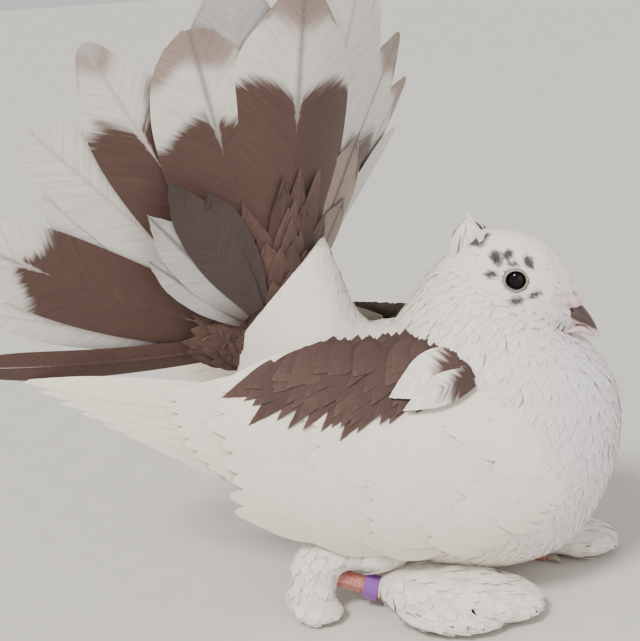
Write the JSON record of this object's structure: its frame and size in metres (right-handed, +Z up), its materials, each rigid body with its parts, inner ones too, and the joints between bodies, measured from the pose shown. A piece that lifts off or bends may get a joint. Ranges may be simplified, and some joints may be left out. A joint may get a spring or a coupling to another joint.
{
  "type": "fantail pigeon model",
  "caption": "Life-size still display model of a standing fantail pigeon with its tail raised and fanned and feathered feet.",
  "frame": {"origin": "centre of the bird's bounding box, on the floor that its feet stand on", "axes": "+X the way the bill points, +Y the bird's left, +Z up"},
  "size_m": [0.2472, 0.1978, 0.2412],
  "materials": {
    "body_feather": "soft white feathered body",
    "white_feather": "smooth white feathers",
    "brown_feather": "chocolate brown feathers",
    "tail_feather": "brown and white banded feathers",
    "bill_horn": "dull horn",
    "cere_skin": "pink bare skin",
    "eye": "wet black eye",
    "scaled_skin": "scaled pink skin",
    "claw": "horn",
    "band_plastic": "purple plastic"
  },
  "bodies": {
    "root": {"bill_lower": "bill_horn", "bill_upper": "bill_horn", "cere": "cere_skin", "claw_left_1": "claw", "claw_left_2": "claw", "claw_left_3": "claw", "claw_left_4": "claw", "claw_right_1": "claw", "claw_right_2": "claw", "claw_right_3": "claw", "claw_right_4": "claw", "crest": "white_feather", "eye_left": "eye", "eye_right": "eye", "foot_left": "scaled_skin", "foot_right": "scaled_skin", "head": "body_feather", "leg_band": "band_plastic", "muff_left": "white_feather", "muff_right": "white_feather", "neck": "body_feather", "primaries_left": "white_feather", "primaries_right": "white_feather", "rump": "body_feather", "scapulars_left": "brown_feather", "scapulars_right": "brown_feather", "secondaries_left": "white_feather", "secondaries_right": "white_feather", "shank_left": "scaled_skin", "shank_right": "scaled_skin", "tail_centre": "tail_feather", "tail_coverts_under": "white_feather", "tail_coverts_upper": "brown_feather", "tail_left": "tail_feather", "tail_right": "tail_feather", "thigh_left": "white_feather", "thigh_right": "white_feather", "torso": "body_feather", "wing_left": "white_feather", "wing_right": "white_feather"}
  },
  "joints": []
}
